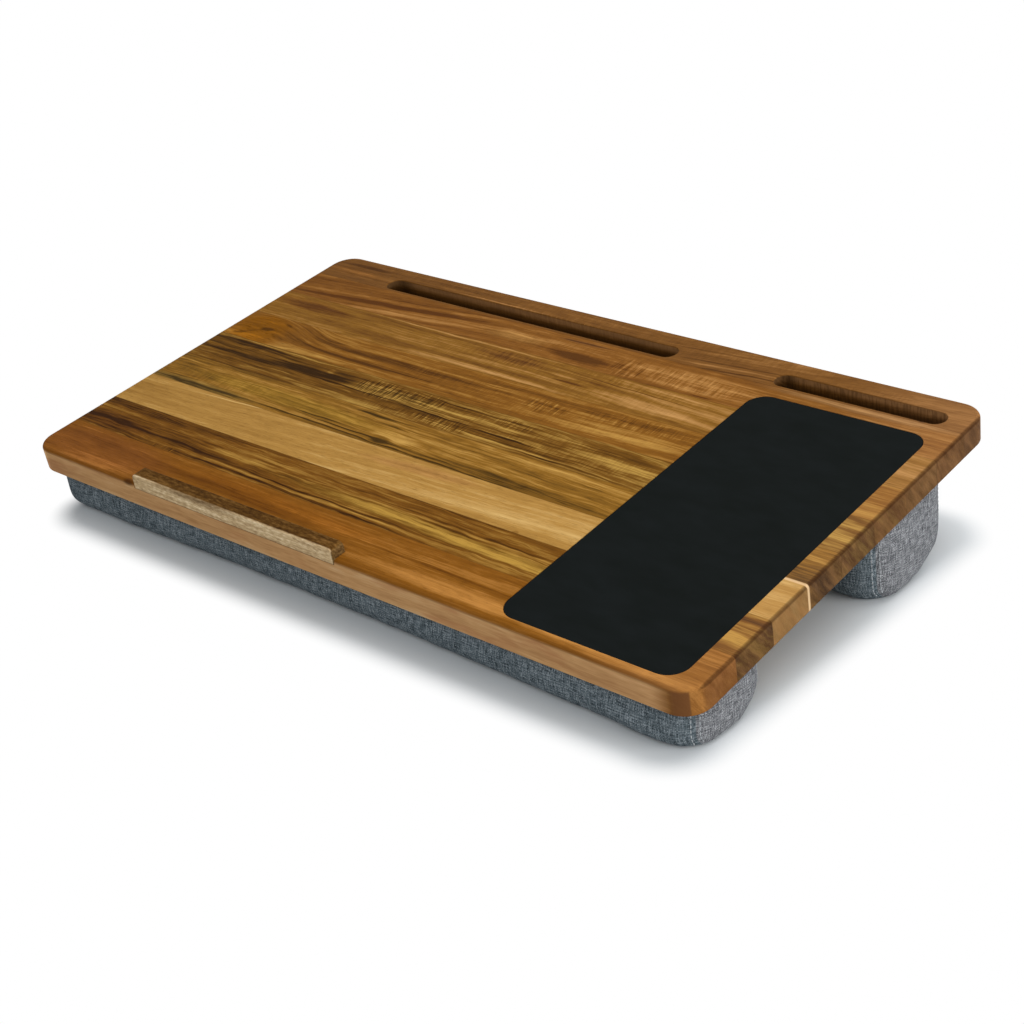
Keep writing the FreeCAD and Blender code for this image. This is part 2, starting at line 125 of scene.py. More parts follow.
class Finish:
    """A material or a world being built, with one way to add any node."""

    def __init__(self, name, home=None):
        home = bpy.data.materials if home is None else home
        self.made = home.new(name)
        self.made.use_nodes = True
        self.tree = self.made.node_tree
        self.tree.nodes.clear()

    def node(self, kind, settings=None, inputs=None, output=0):
        """Adds a node: its settings first, then what its sockets hold: a wire, a value or a tone's code."""
        added = self.tree.nodes.new("ShaderNode" + kind)
        for name, value in (settings or {}).items():
            if name == "stops":
                self.set_stops(added.color_ramp, value)
            else:
                setattr(added, name, value)
        for name, value in (inputs or {}).items():
            if isinstance(value, Wire):
                self.tree.links.new(value.socket, added.inputs[name])
            elif isinstance(value, str):
                added.inputs[name].default_value = tone(value)
            else:
                added.inputs[name].default_value = value
        return Wire(self, added.outputs[output]) if added.outputs else None

    def set_stops(self, ramp, stops):
        """A ramp's stops, given as (place, tone's code) from the lowest to the highest."""
        while len(ramp.elements) > 1:
            ramp.elements.remove(ramp.elements[-1])
        ramp.elements[0].position = stops[0][0]
        ramp.elements[0].color = tone(stops[0][1])
        for place, code in stops[1:]:
            ramp.elements.new(place).color = tone(code)

    def mix(self, share, first, second, blend="MIX"):
        """Two colours mixed; share is how much of the second."""
        settings = {"data_type": "RGBA", "blend_type": blend, "clamp_factor": True}
        return self.node("Mix", settings, {0: share, 6: first, 7: second}, 2)

    def ramp(self, value, *stops):
        return self.node("ValToRGB", {"stops": stops}, {"Fac": value})

    def noise(self, point, cell, seed=0.0, detail=2.0, roughness=0.55):
        """Noise whose cells measure cell, in the units of point."""
        shift = (seed, seed * 0.37, seed * 0.71)
        finer = [1 / c for c in cell]
        place = self.node("Mapping", None, {"Vector": point, "Location": shift, "Scale": finer})
        inputs = {"Vector": place, "Scale": 1.0, "Detail": detail, "Roughness": roughness}
        return self.node("TexNoise", {"noise_dimensions": "3D"}, inputs)

    def cells(self, point, scale):
        """How far each place is from the middle of its cell."""
        return self.node("TexVoronoi", {"feature": "F1"}, {"Vector": point, "Scale": scale})

    def near(self, point, centre, reach, turn=0.0, core=0.0):
        """1 at centre, falling smoothly to 0 at an ellipsoid of the given half sizes."""
        inputs = {"Vector": point, "Location": centre, "Rotation": (0.0, 0.0, turn), "Scale": reach}
        place = self.node("Mapping", {"vector_type": "TEXTURE"}, inputs)
        away = self.node("VectorMath", {"operation": "LENGTH"}, {0: place}, 1)
        return away.between(1.0, core)

    def bump(self, height, distance, strength=1.0):
        return self.node("Bump", None, {"Height": height, "Distance": distance, "Strength": strength})

    def surface(self, **inputs):
        """The principled shader that ends the tree; names are its sockets, with _ for a space."""
        sockets = {name.replace("_", " "): value for name, value in inputs.items()}
        shader = self.node("BsdfPrincipled", None, sockets)
        self.node("OutputMaterial", None, {"Surface": shader})
        return self.made


def split(finish, point):
    """The three parts of a vector."""
    return [finish.node("SeparateXYZ", None, {"Vector": point}, i) for i in range(3)]


def join(finish, x, y, z):
    return finish.node("CombineXYZ", None, {"X": x, "Y": y, "Z": z})


def object_point(finish):
    return finish.node("TexCoord", None, None, "Object")


def board_point(finish):
    """The place on the piece in the board's own frame, in mm."""
    inputs = {
        "Vector": object_point(finish),
        "Location": Matrix.Rotation(-TILT, 3, "X") @ -BOARD_CORNER,
        "Rotation": (-TILT, 0.0, 0.0),
        "Scale": (1 / MM, 1 / MM, 1 / MM),
    }
    return finish.node("Mapping", {"vector_type": "POINT"}, inputs)


# ---- Acacia ----

DEEP = 1000.0                        # half depth of a mark that goes right through the board, in mm
SLOTTED_STAVES = (8, 9)
SLOTS_FRONT, SLOTS_BACK = 275.0, 289.5
LEDGE_LEFT, LEDGE_RIGHT = 106.0, 286.0
LEDGE_SUNK = 3.5                     # how far the ledge's strip sits in its rebate
# Painted light: the next value raises the staves' tones towards the right end, where more light falls.
PAINTED_LIGHT_RIGHTWARD = 0.12                    # the staves lighten towards the right end
GLUE_SHOWS = 105.5                   # the glue line that stands out pale at the right end
DRY = 0.02                           # the gleam of oiled wood and cloth, which is next to none

# Each stave's figure, in the board's frame. A stave without curls, knots or spots leaves them out.
#   tones    its dark, middle and light brown, and level, where most of it lies between them
#   bands, streaks    how strongly broad bands and narrow streaks mark it; wave, how far they waver, in mm
#   end      the tone of its end grain and how far that takes over
#   bend     (x, slope before it, slope after it) of the grain; lean, its slope through the thickness
#   strokes  marks drawn out along the grain: (x, y, half length, half width, strength)
#   tints    patches of another hue: (x, y, half length, half width, colour, strength)
#   curls    patches of short cross ripples: (x, y, half length, half width, strength)
#   knots    places that the grain parts round: (x, y, half length, half width, spread, depth of the core)
#   spots    marks that don't follow the grain: (x, y, half length, half width, turn, strength)
STAVES = {
    1: {
        "tones": ("5a3206", "7e4e14", "b57d3c"), "level": 0.45, "end": ("7a4822", 0.4),
        "bands": 0.4, "streaks": 0.44, "wave": 0.8, "bend": (200, 0.0, 0.0), "lean": 0.5,
        "strokes": [
            (300, 28, 160, 12, 0.14), (40, 24, 130, 24, -0.06), (180, 23, 110, 7, -0.22),
            (340, 22.5, 80, 1.5, -0.28), (60, 6, 60, 6, 0.22), (390, 10, 120, 9, 0.3),
            (480, 5, 70, 6, 0.3), (60, 26, 70, 6, -0.06), (300, 30, 150, 5, -0.1),
            (25, 33, 20, 0.9, 0.2),
        ],
        "tints": [(50, 18, 90, 26, "8a4f26", 0.45), (210, 27, 120, 10, "8f5412", 0.6)],
    },
    2: {
        "tones": ("301802", "704713", "ae843c"), "level": 0.45, "end": ("36281a", 0.6),
        "bands": 0.62, "streaks": 0.9, "wave": 3.0, "bend": (0, -0.008, -0.008), "lean": 0.8,
        "strokes": [
            (330, 46, 190, 14, 0.22), (240, 62, 220, 10, 0.12), (60, 62, 120, 12, -0.1),
            (20, 46, 70, 10, -0.26), (100, 46, 60, 6, -0.2), (30, 66, 110, 5, -0.12),
            (150, 54, 40, 4.5, 0.26), (200, 39, 170, 1.6, -0.42), (240, 43.5, 120, 1.2, -0.42),
            (300, 51, 90, 4, 0.2), (370, 50, 70, 6, 0.22), (330, 59, 90, 1.4, -0.34),
            (300, 65, 120, 5, -0.1), (330, 55.5, 40, 1.0, -0.3), (528, 50, 50, 6, 0.25),
            (528, 66, 30, 3, -0.25),
        ],
        "tints": [(20, 46, 60, 10, "4e2a0c", 0.35), (330, 50, 200, 7, "a58330", 0.3)],
        "curls": [(90, 38.5, 14, 3, 0.4)],
    },
    3: {
        "tones": ("8a622a", "a97f3f", "caa566"), "level": 0.4, "end": ("6e4c32", 0.5),
        "bands": 0.6, "streaks": 0.5, "wave": 1.5, "bend": (0, 0.05, 0.05), "lean": 0.4,
        "strokes": [
            (100, 104.6, 60, 0.7, 0.4), (300, 85, 200, 12, 0.12), (400, 92, 150, 16, 0.12),
            (180, 93, 120, 3, -0.14), (20, 90, 30, 10, -0.12), (270, 97, 30, 3, -0.12),
            (200, 72, 200, 0.8, 0.16),
        ],
        "tints": [(265, 96, 60, 6, "b17c48", 0.4)],
        "knots": [(363, 72, 3.0, 2.4, 0.2, 0.9)],
    },
    4: {
        "tones": ("3e2a0a", "865d1f", "bd924a"), "level": 0.46, "end": ("38271b", 0.66),
        "bands": 0.7, "streaks": 0.9, "wave": 2.2, "bend": (160, 0.0, -0.02), "lean": 0.7,
        "strokes": [
            (390, 132, 90, 12, 0.16), (15, 118, 60, 20, -0.12), (250, 118, 110, 10, 0.18),
            (530, 114, 40, 12, -0.4), (45, 108, 70, 4, -0.36), (110, 125, 110, 7, 0.12),
            (110, 133, 90, 3, 0.14), (260, 106.7, 160, 1.1, -0.3), (185, 112, 50, 1.0, -0.5),
            (170, 115.5, 50, 0.8, -0.32), (226, 118, 26, 6, 0.3), (180, 121, 40, 2.5, 0.14),
            (335, 111, 100, 5.5, -0.22), (250, 110.5, 50, 2, -0.2), (195, 134, 24, 1.6, -0.36),
            (330, 133, 90, 3, 0.12), (300, 124, 150, 6, -0.08), (215, 128, 20, 1.2, -0.26),
            (140, 109, 60, 1.0, -0.3),
        ],
        "tints": [(40, 108, 80, 6, "584620", 0.5), (120, 122, 120, 10, "a07a28", 0.5)],
        "curls": [(60, 120, 60, 10, 0.16)],
        "knots": [(218, 111.5, 12, 6, 0.5, 0.25)],
    },
    5: {
        "tones": ("2e1a02", "6c4714", "b08a42"), "level": 0.5, "end": ("452f1d", 0.64),
        "bands": 0.8, "streaks": 0.85, "wave": 2.2, "bend": (200, 0.0, -0.02), "lean": 0.6,
        "strokes": [
            (40, 158, 90, 20, -0.12), (390, 150, 70, 16, 0.14), (60, 171.2, 110, 0.8, 0.22),
            (45, 169, 45, 1.6, -0.42), (108, 158, 46, 8, -0.34), (136, 160, 18, 9, -0.24),
            (50, 153, 60, 4, -0.26), (50, 163, 50, 3, 0.06), (123, 164, 4, 5, 0.14),
            (150, 153, 60, 0.9, -0.42), (230, 151.3, 50, 1.0, -0.42), (290, 148.8, 36, 1.3, -0.55),
            (255, 158.5, 80, 1.6, 0.42), (270, 166, 80, 1.2, -0.3), (370, 165, 40, 6, -0.28),
            (375, 154, 50, 4, 0.12), (280, 142.5, 90, 1.2, 0.26), (355, 139.5, 70, 1.3, -0.36),
            (95, 139, 30, 1.5, -0.25), (230, 164, 60, 4, -0.1), (480, 155, 70, 14, 0.12),
        ],
        "tints": [(190, 158, 60, 8, "a5803a", 0.4)],
        "curls": [
            (290, 156, 140, 18, 0.14), (174, 160, 28, 12, 0.8), (210, 163, 22, 9, 0.42),
            (240, 145, 30, 7, 0.45), (285, 164, 18, 6, 0.35), (215, 143, 60, 6, 0.22),
        ],
    },
    6: {
        "tones": ("4e2e0a", "7e5119", "b0843f"), "level": 0.46, "end": ("452f1d", 0.64),
        "bands": 0.72, "streaks": 0.7, "wave": 1.2, "bend": (300, 0.0, 0.03), "lean": 0.7,
        "strokes": [
            (370, 195, 80, 16, 0.14), (160, 192.5, 125, 4.2, -0.38), (90, 196, 24, 2, -0.25),
            (120, 183, 95, 1.1, -0.4), (110, 177, 90, 4, 0.16), (110, 188, 40, 2, 0.08),
            (220, 179, 100, 5, 0.08), (150, 204, 90, 1.2, -0.14), (350, 181, 70, 5, 0.2),
            (350, 198, 60, 5, -0.18), (290, 191, 22, 5, -0.14), (90, 202, 30, 2, 0.1),
            (530, 180, 30, 8, 0.15),
        ],
        "tints": [(26, 182, 34, 12, "8f5808", 0.95)],
        "curls": [
            (280, 190, 150, 20, 0.12), (290, 190, 20, 8, 0.55), (360, 198, 46, 8, 0.32),
            (200, 190, 60, 5, 0.1),
        ],
        "knots": [(26, 178, 78, 62, 0.75, 0.0)],
        "spots": [
            (32, 189, 8, 3.6, 0.2, -0.45), (14, 177.5, 8, 2.0, 0.4, -0.38),
            (23, 184, 13, 1.5, 0.55, -0.22), (44, 199.5, 6, 2.2, -0.3, -0.3),
            (48, 183, 13, 3.5, -0.3, -0.2), (30, 179, 13, 3.5, 0.0, 0.12),
        ],
    },
    7: {
        "tones": ("55310f", "835a20", "b78850"), "level": 0.44, "end": ("48311f", 0.64),
        "bands": 0.64, "streaks": 0.62, "wave": 1.2, "bend": (260, 0.0, -0.035), "lean": 0.6,
        "strokes": [
            (380, 232, 90, 14, 0.14), (240, 214, 60, 8, -0.1), (60, 228, 100, 10, -0.06),
            (45, 228, 50, 6, -0.22), (170, 239.6, 120, 1.3, 0.24), (215, 210, 100, 3.5, 0.34),
            (226, 231, 38, 7, -0.2), (283, 222, 13, 0.9, -0.6), (283, 222, 20, 2.2, -0.22),
            (335, 231, 70, 0.8, -0.36), (350, 220, 60, 5, 0.26), (275, 228, 14, 3, 0.16),
            (60, 212, 60, 4, 0.05), (350, 238, 50, 1.2, 0.12), (180, 218, 70, 1, -0.14),
            (470, 222, 90, 14, 0.14),
        ],
        "tints": [(226, 231, 40, 9, "865626", 0.3), (30, 230, 44, 9, "7e4c1a", 0.3)],
        "curls": [(270, 224, 150, 20, 0.12), (228, 230, 36, 9, 0.2), (340, 236, 60, 5, 0.18)],
    },
    8: {
        "tones": ("542f0c", "80521f", "b38248"), "level": 0.42, "end": ("3e2a1a", 0.64),
        "bands": 0.6, "streaks": 0.62, "wave": 1.2, "bend": (200, 0.1, 0.0), "lean": 0.6,
        "strokes": [
            (110, 262, 110, 14, -0.1), (370, 256, 80, 18, 0.1), (90, 254, 130, 3.6, -0.36),
            (100, 245, 120, 3, 0.22), (215, 256, 30, 7, 0.18), (270, 250, 32, 7, -0.42),
            (262, 268, 26, 1.6, -0.32), (120, 268, 60, 5, -0.06), (160, 267, 40, 2, 0.1),
            (350, 255, 60, 12, 0.14), (372, 242.5, 10, 0.8, -0.36), (250, 241.6, 100, 1.0, 0.2),
            # The last stroke here is painted light: a pale band along the lit front edge of the short slot.
            (319, 252, 1.6, 10, -0.3), (470, 272.5, 90, 4, 0.22),
        ],
        "tints": [
            (270, 250, 30, 8, "7a4c1c", 0.6), (262, 268, 28, 2.6, "6e4a2a", 0.4),
            # The last tint here is painted light too, along that same lit edge of the short slot.
            (210, 256, 34, 7, "a0743a", 0.4), (470, 272, 90, 6, "a47c50", 0.55),
        ],
        "curls": [(300, 256, 130, 18, 0.1), (308, 252, 15, 13, 0.48), (355, 254, 45, 12, 0.3)],
    },
    9: {
        "tones": ("482a0e", "754d22", "a87844"), "level": 0.41, "end": ("4c3523", 0.64),
        "bands": 0.3, "streaks": 0.46, "wave": 1.5, "bend": (320, 0.0, 0.1), "lean": 0.7,
        "strokes": [
            (390, 297, 60, 10, 0.14), (270, 296, 40, 10, -0.06), (30, 295, 40, 3, -0.24),
            (30, 285, 40, 4, 0.1), (262, 297, 50, 2.5, 0.1), (120, 296, 80, 3, -0.08),
            # The first stroke here is painted light: a pale line along the lit back edge of the long slot.
            (165, 290.2, 55, 0.8, 0.34), (370, 279, 50, 1.2, 0.26), (370, 283, 60, 1.5, -0.22),
            (380, 275.5, 60, 1.2, -0.22), (470, 279, 60, 2, 0.1), (350, 294, 40, 1.5, -0.16),
        ],
        "tints": [(28, 285, 42, 7, "8d5a24", 0.6)],
        "curls": [
            (300, 292, 180, 20, 0.1), (100, 298, 80, 5, 0.14), (460, 289, 40, 8, 0.1),
            (200, 288, 90, 3, 0.2),
        ],
        "knots": [(508, 276, 4, 2.5, 0.3, 0.5)],
    },
}


def bent(stave, x, y):
    """y less the rise of the stave's grain; x and y are wires."""
    turn, before, after = stave["bend"]
    return y - (x - turn).least(0.0) * before - (x - turn).most(0.0) * after


def bent_place(stave, x, y):
    """The same for a place given in numbers."""
    turn, before, after = stave["bend"]
    return y - min(x - turn, 0.0) * before - max(x - turn, 0.0) * after


def patch(finish, stave, plan, mark, core):
    """1 inside a mark that follows the stave's grain; mark starts with x, y, half length, half width."""
    x, y, reach, width = mark[:4]
    return finish.near(plan, (x, bent_place(stave, x, y), 0.0), (reach, width, DEEP), 0.0, core)


def grain(finish, stave, point, x, y, z, seed):
    """The place across the grain, in mm: y less slope and lean, with slow wander, parted round the knots."""
    wander = finish.noise(point, (190, 55, 55), seed, 1.0) - 0.5
    sway = finish.noise(point, (42, 13, 13), seed + 3.1, 1.5) - 0.5
    wave = finish.noise(point, (20, 6, 6), seed + 5.7, 1.0) - 0.5
    across = bent(stave, x, y) + z * stave["lean"] + wander * 5.0 + sway * 2.2 + wave * stave["wave"]
    for knot in stave.get("knots", ()):
        spread = knot[4]
        mask = patch(finish, stave, join(finish, x, across, 0.0), knot, 0.2)
        across = across - (across - bent_place(stave, *knot[:2])) * mask * spread
    return across


def figure(finish, x, z, across, seed):
    """Bands, streaks and fibres: noise drawn out along the board by different lengths."""
    lines = join(finish, x, across, z * 0.4)
    band = finish.noise(lines, (240, 6.0, 12), seed + 11.0, 1.5)
    streak = finish.noise(lines, (75, 1.8, 4), seed + 17.0, 2.0)
    streak = streak * 0.7 + finish.noise(lines, (20, 1.1, 3), seed + 19.0, 1.0) * 0.45 - 0.075
    fibre = finish.noise(join(finish, x, across, z), (14, 0.5, 0.5), seed + 23.0, 2.0)
    return band - 0.5, streak - 0.5, fibre - 0.5


def marks(finish, stave, point, plan, seed):
    """What the stave's strokes, curls, spots and knots add to its level."""
    level = 0.0
    for stroke in stave["strokes"]:
        weight = stroke[4]
        level = patch(finish, stave, plan, stroke, 0.35) * (1.25 * weight) + level
    for curl in stave.get("curls", ()):
        weight = curl[4]
        ticks = finish.noise(point, (1.3, 14, 14), seed + 31.0, 1.0) - 0.5
        level = ticks * patch(finish, stave, plan, curl, 0.6) * (2.4 * weight) + level
    for x, y, reach, width, turn, weight in stave.get("spots", ()):
        level = finish.near(point, (x, y, 0.0), (reach, width, DEEP), turn, 0.3) * weight + level
    for knot in stave.get("knots", ()):
        depth = knot[5]
        if depth:
            level = patch(finish, stave, plan, knot, 0.2) * -depth + level
    return level


def tinted(finish, stave, plan, colour):
    """Patches of another hue, each as light or dark as the wood there."""
    for tint in stave["tints"]:
        code, strength = tint[4:]
        colour = finish.mix(patch(finish, stave, plan, tint, 0.4) * strength, colour, code, "COLOR")
    return colour


def front_face(finish, x, y, z, level, colour):
    """Pale sapwood down the front face, made paler still by painted light that stands in for the light
    falling on it; a darker band round its right corner, a dark arris, and a dark spot by the ledge's left
    end.
    """
    point = join(finish, x, y, z)
    face = y.between(2.4, 0.6) * z.between(-0.6, -2.4) * x.between(524.0, 508.0)
    # Pale sapwood, its tones raised as painted light standing in for light falling on the front face.
    sapwood_and_painted_light = finish.ramp(level, (0.1, "b07e50"), (0.5, "deac74"), (0.9, "f2d2a4"))
    flush = finish.noise(point, (34, 12, 7), 71.0, 2.0).between(0.50, 0.72)
    sapwood_and_painted_light = finish.mix(flush * 0.45, sapwood_and_painted_light, "b87850")
    colour = finish.mix(face * 0.9, colour, sapwood_and_painted_light)
    corner = y.between(8.5, 7.5) * z.between(-0.6, -2.0) * x.between(519.5, 524.0) * x.between(531.4, 530.5)
    colour = finish.mix(corner * 0.85, colour, "502c0c")
    arris = y.between(3.2, 1.2) * z.between(-3.0, -1.0)
    colour = finish.mix(arris * 0.35, colour, "5a3410")
    dark_spot = finish.near(point, (LEDGE_LEFT - 6.0, 1.0, -1.2), (7.0, 3.5, 2.6), 0.0, 0.3)
    return finish.mix(dark_spot * 0.75, colour, "3a1e0c")


def end_grain(finish, number, x, y, z, colour):
    """Darker, cloudy end grain with the bands of the top, painted shade on the arris at the right end, and
    painted light that pales the board towards its right end.
    """
    # Painted light: the board is paled towards its right end, where more light falls.
    colour = finish.mix(x.between(430.0, BOARD_LENGTH) * 0.08, colour, "d09c78")
    ends = x.between(1.6, 0.2) + x.between(BOARD_LENGTH - 1.6, BOARD_LENGTH - 0.2)
    code, share = STAVES[number]["end"]
    dark = finish.mix(0.50, code, "20120c")
    light = finish.mix(0.35, code, "8a6440")
    rings = finish.noise(join(finish, x, y + z * 0.6, z * 0.4), (30, 8.0, 9.0), number + 67.0, 2.0)
    pores = finish.noise(join(finish, x, y, z), (1.4, 1.0, 3.0), number + 61.0, 3.0)
    cut = finish.mix((rings * 0.8 + pores * 0.2).between(0.38, 0.62), dark, light)
    colour = finish.mix(ends * 0.30, colour, "1e1008")
    colour = finish.mix(ends * share, colour, cut)
    # Painted shade: a dark line on the rounded arris at the right end.
    arris = x.between(BOARD_LENGTH - 2.6, BOARD_LENGTH - 1.2) * z.between(-2.2, -1.0)
    return finish.mix(arris * 0.62, colour, "2c1608")


def slot_walls(finish, x, y, z, colour):
    """The slots' walls: rippled by the cutter, with painted light near the mouth, painted shade that deepens
    with depth, and painted shade at the left ends.
    """
    across = y.between(SLOTS_FRONT - 0.4, SLOTS_FRONT) * y.between(SLOTS_BACK + 0.4, SLOTS_BACK)
    along = x.between(50.0, 60.0) * x.between(526.0, 523.0)
    wall = across * along * z.between(-0.3, -1.2) * z.between(-12.5, -11.0)
    # Painted light: the upper part of each wall is lightened.
    colour = finish.mix(wall * z.between(-6.5, -2.5) * 0.42, colour, "b08458")
    ticks = finish.noise(join(finish, x, y, z), (1.5, 30, 12), 77.0, 1.0).between(0.42, 0.62)
    colour = finish.mix(wall * ticks * (0.12 + x.between(396.0, 404.0) * 0.22), colour, "2a1608")
    # Painted shade: the left end of each slot is darkened where its rounded wall lies in shadow.
    painted_shade_left_ends = (x.between(90.0, 72.0) + x.between(416.0, 406.0) * x.between(396.0, 400.0)) * 0.6
    colour = finish.mix(wall * painted_shade_left_ends, colour, "1c0f04")
    # Painted shade: the wall darkens with depth.
    return finish.mix(wall * z.between(-3.0, -9.5) * 0.66, colour, "1c0f04")


def glue_lines(finish, number, x, y, colour):
    """A thin dark line along each joint, and the pale one at the right end."""
    front, back = GLUE_LINES[number - 1], GLUE_LINES[number]
    glue = abs(y - front).between(0.4, 0.05) + abs(y - back).between(0.4, 0.05)
    colour = finish.mix(glue * 0.3, colour, "2e1b0b")
    if GLUE_SHOWS in (front, back):
        pale = abs(y - GLUE_SHOWS).between(1.3, 0.5) * x.between(496.0, 512.0)
        colour = finish.mix(pale * 0.80, colour, "dcb98c")
    return colour


def acacia(number):
    """The finish of one stave: its own tones, figure and marks, under one oiled surface."""
    stave = STAVES[number]
    seed = number * 7.3
    finish = Finish(f"acacia_stave_{number}")
    point = board_point(finish)
    x, y, z = split(finish, point)
    across = grain(finish, stave, point, x, y, z, seed)
    band, streak, fibre = figure(finish, x, z, across, seed)
    cloud = finish.noise(point, (16, 6, 6), seed + 51.0, 2.0) - 0.5
    plan = join(finish, x, across, 0.0)
    level = band * (1.5 * stave["bands"]) + streak * (1.4 * stave["streaks"]) + fibre * 0.5 + cloud * 0.3
    level = level + marks(finish, stave, point, plan, seed) + stave["level"]
    # Painted light: the level rises towards the right end, standing in for the light that falls more there.
    level_with_painted_light = level + x.between(440.0, 530.0) * PAINTED_LIGHT_RIGHTWARD
    dark, middle, light = stave["tones"]
    colour = finish.ramp(level_with_painted_light, (0.0, dark), (0.5, middle), (1.0, light))
    colour = tinted(finish, stave, plan, colour)
    pores = finish.noise(join(finish, x, across, z), (5.5, 0.28, 0.28), seed + 41.0, 0.0).between(0.66, 0.74)
    colour = finish.mix(pores * 0.3, colour, "2c1a0a")
    if number == 1:
        colour = front_face(finish, x, y, z, level, colour)
    colour = end_grain(finish, number, x, y, z, colour)
    if number in SLOTTED_STAVES:
        colour = slot_walls(finish, x, y, z, colour)
    colour = glue_lines(finish, number, x, y, colour)
    height = fibre * 0.6 + streak * 0.3 - pores * 0.5
    return finish.surface(
        Base_Color=colour,
        Roughness=0.55 - fibre * 0.25 + pores * 0.15,
        Normal=finish.bump(height, 0.00006),
        Specular_IOR_Level=DRY,
    )


# ---- Other finishes ----

def ledge_wood():
    """The ledge's strip: pale dry front, dark heart on top, brown ends."""
    finish = Finish("ledge_strip")
    point = board_point(finish)
    x, y, z = split(finish, point)
    wander = finish.noise(point, (60, 20, 20), 4.0, 1.0) - 0.5
    lines = join(finish, x, z + wander * 3.0, y * 0.6)
    band = finish.noise(lines, (50, 1.8, 2.2), 5.0, 2.0) - 0.5
    fleck = finish.noise(point, (3.5, 1.3, 1.3), 6.0, 2.0) - 0.5
    level = band * 1.2 + fleck * 1.3 + 0.5
    pale = finish.ramp(level, (0.0, "8a6e4e"), (0.5, "bda178"), (1.0, "e6d0aa"))
    heart = finish.ramp(level, (0.0, "2a1806"), (0.5, "523614"), (1.0, "78562a"))
    brown = finish.ramp(level, (0.0, "3a2812"), (0.5, "604626"), (1.0, "866a3e"))
    top = (y + wander * 0.4).between(0.4, 1.4)
    colour = finish.mix(top, pale, heart)
    smudge = finish.near(point, (LEDGE_LEFT + 62.0, 0.0, 7.0), (55.0, 4.0, 5.5), 0.0, 0.1)
    colour = finish.mix(smudge * 0.6, colour, heart)
    left_end = x.between(LEDGE_LEFT + 1.4, LEDGE_LEFT + 0.4)
    right_end = x.between(LEDGE_RIGHT - 1.4, LEDGE_RIGHT - 0.4)
    colour = finish.mix(left_end + right_end, colour, brown)
    joint = z.between(0.7 - LEDGE_SUNK, 0.2 - LEDGE_SUNK) * 0.7
    colour = finish.mix(joint, colour, "4a2810")
    return finish.surface(
        Base_Color=colour,
        Roughness=0.65 - fleck * 0.3,
        Normal=finish.bump(band * 0.5 + fleck, 0.00008),
        Specular_IOR_Level=DRY,
    )


def pad_cover():
    """Black pad: fine pebbled skin, dry and dull."""
    finish = Finish("pad_cover")
    point = board_point(finish)
    pebbles = finish.cells(point, 1.6)
    dust = finish.noise(point, (26, 12, 12), 2.0, 3.0)
    return finish.surface(
        Base_Color=finish.ramp(dust, (0.3, "131615"), (0.7, "171a1a")),
        Roughness=0.88 + (dust - 0.5) * 0.1,
        Normal=finish.bump(pebbles, 0.00004, 0.5),
        Specular_IOR_Level=0.015,
    )


def adhesive_film():
    """Thin milky film with faint streaks."""
    finish = Finish("adhesive_film")
    streaks = finish.noise(board_point(finish), (30, 2, 2), 3.0, 3.0)
    return finish.surface(
        Base_Color=finish.ramp(streaks, (0.3, "8f8a7a"), (0.7, "b9b4a2")),
        Roughness=0.35 + streaks * 0.2,
        Normal=finish.bump(streaks, 0.00003),
    )


def foam():
    """Open-cell upholstery foam."""
    finish = Finish("foam")
    point = board_point(finish)
    cells = finish.cells(point, 0.9)
    cloud = finish.noise(point, (40, 40, 40), 8.0, 2.0)
    return finish.surface(
        Base_Color=finish.ramp(cells * 0.6 + cloud * 0.4, (0.1, "b9a25e"), (0.6, "e3d393")),
        Roughness=0.9,
        Normal=finish.bump(cells, 0.0004),
    )


def hardboard():
    """Pressed fibre board: brown with short flecks."""
    finish = Finish("hardboard")
    point = board_point(finish)
    fleck = finish.noise(point, (3.0, 1.2, 1.2), 9.0, 4.0, 0.7)
    cloud = finish.noise(point, (60, 40, 40), 10.0, 2.0)
    return finish.surface(
        Base_Color=finish.ramp(fleck * 0.7 + cloud * 0.3, (0.3, "5a3d24"), (0.7, "8d6a45")),
        Roughness=0.7,
        Normal=finish.bump(fleck, 0.0001),
    )


def mounting_tape():
    """Foam tape: pale grey with faint rolling marks."""
    finish = Finish("mounting_tape")
    rolled = finish.noise(board_point(finish), (50, 1.5, 1.5), 12.0, 2.0)
    return finish.surface(
        Base_Color=finish.ramp(rolled, (0.3, "a9aaa6"), (0.7, "cfd0cc")),
        Roughness=0.6,
        Normal=finish.bump(rolled, 0.00005),
    )


def staple_wire():
    """Drawn, zinc-coated wire."""
    finish = Finish("staple_wire")
    scratch = finish.noise(board_point(finish), (4, 0.15, 0.15), 13.0, 3.0)
    return finish.surface(
        Base_Color=finish.ramp(scratch, (0.3, "8c8f92"), (0.7, "c3c6c8")),
        Metallic=1.0,
        Roughness=0.3 + scratch * 0.2,
        Normal=finish.bump(scratch, 0.00002),
    )


PANELS = "panels"          # the map that lays the cloth on a bolster's panels, in mm
END_PANELS = 400.0         # where the end panels lie on that map, clear of the wrap
YARN = 0.85                # pitch of the weave, in mm
SECTION = 60.0             # half the middle stretch whose outline the wrap is laid along
SECTION_BINS = 96          # how finely that outline is read


